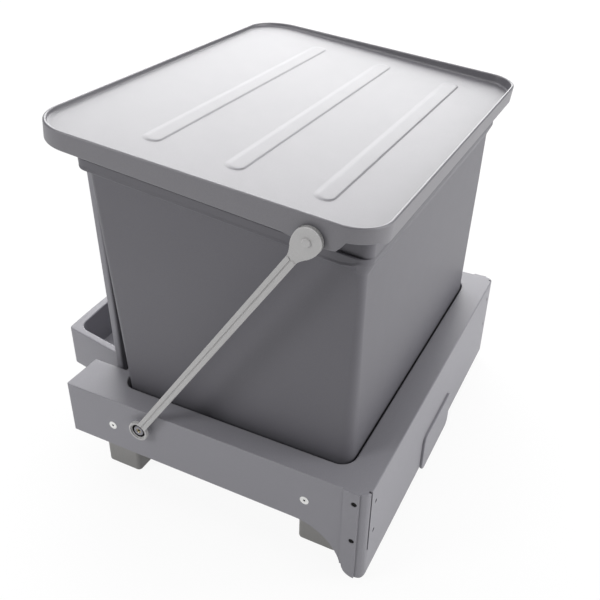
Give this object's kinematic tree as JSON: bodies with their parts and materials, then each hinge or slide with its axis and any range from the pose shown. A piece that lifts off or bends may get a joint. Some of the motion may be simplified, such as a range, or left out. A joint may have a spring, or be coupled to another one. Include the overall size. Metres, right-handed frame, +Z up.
{
  "type": "pull out trash cabinet",
  "caption": "Pull-out waste bin carriage on ball slides, with a lift-out bin, a rear tray and a lid held on swinging arms.",
  "frame": {"origin": "on the cabinet floor, under the middle of the bounding box", "axes": "the front faces -Y, +X is to the right of someone who faces the front (the far side in the picture), +Z up"},
  "size_m": [0.3684, 0.3474, 0.3397],
  "materials": {
    "frame_grey": "fine moulded grain",
    "bin_grey": "fine moulded grain",
    "lid_grey": "fine moulded grain",
    "arm_grey": "satin",
    "foot_grey": "satin",
    "slide_steel": "zinc plated sheet",
    "zinc_hardware": "zinc plated",
    "cage_steel": "greased steel"
  },
  "bodies": {
    "base": {"front_base_bar": "foot_grey", "rear_base_bar": "foot_grey", "left_rail_brackets": "slide_steel", "right_rail_brackets": "slide_steel", "bracket_screws": "zinc_hardware", "rail_rivets": "zinc_hardware", "left_fixed_rail": "slide_steel", "right_fixed_rail": "slide_steel"},
    "outer_cages": {"left_outer_cage": "cage_steel", "right_outer_cage": "cage_steel"},
    "middle_rails": {"left_middle_rail": "slide_steel", "right_middle_rail": "slide_steel"},
    "inner_cages": {"left_inner_cage": "cage_steel", "right_inner_cage": "cage_steel"},
    "carriage": {"carriage_frame": "frame_grey", "front_badge": "frame_grey", "rear_panel": "frame_grey", "waste_bin": "bin_grey", "left_moving_rail": "slide_steel", "right_moving_rail": "slide_steel", "slide_screws": "zinc_hardware", "arm_pivot_screws": "zinc_hardware"},
    "lid_arms": {"left_lid_arm": "arm_grey", "right_lid_arm": "arm_grey"},
    "lid": {"lid": "lid_grey", "lid_pins": "arm_grey"}
  },
  "joints": [
    {"name": "carriage_slide", "type": "slide", "parent": "base", "child": "carriage", "axis": [0, -1, 0], "range_m": [0, 0.24]},
    {"name": "middle_rail_slide", "type": "slide", "parent": "base", "child": "middle_rails", "axis": [0, -1, 0], "range_m": [0, 0.12]},
    {"name": "outer_cage_slide", "type": "slide", "parent": "base", "child": "outer_cages", "axis": [0, -1, 0], "range_m": [0, 0.06]},
    {"name": "inner_cage_slide", "type": "slide", "parent": "base", "child": "inner_cages", "axis": [0, -1, 0], "range_m": [0, 0.18]},
    {"name": "arms_swing", "type": "hinge", "parent": "carriage", "child": "lid_arms", "pos_m": [0, 0.03425, 0.0825], "axis": [-1, 0, 0], "range_deg": [0, 55]},
    {"name": "lid_tilt", "type": "hinge", "parent": "lid_arms", "child": "lid", "pos_m": [0, -0.11851, 0.30193], "axis": [-1, 0, 0], "range_deg": [-55, 0]}
  ],
  "couplings": [
    {"joint": "middle_rail_slide", "follows": "carriage_slide", "ratio": 0.5},
    {"joint": "outer_cage_slide", "follows": "carriage_slide", "ratio": 0.25},
    {"joint": "inner_cage_slide", "follows": "carriage_slide", "ratio": 0.75},
    {"joint": "lid_tilt", "follows": "arms_swing", "ratio": -1}
  ]
}
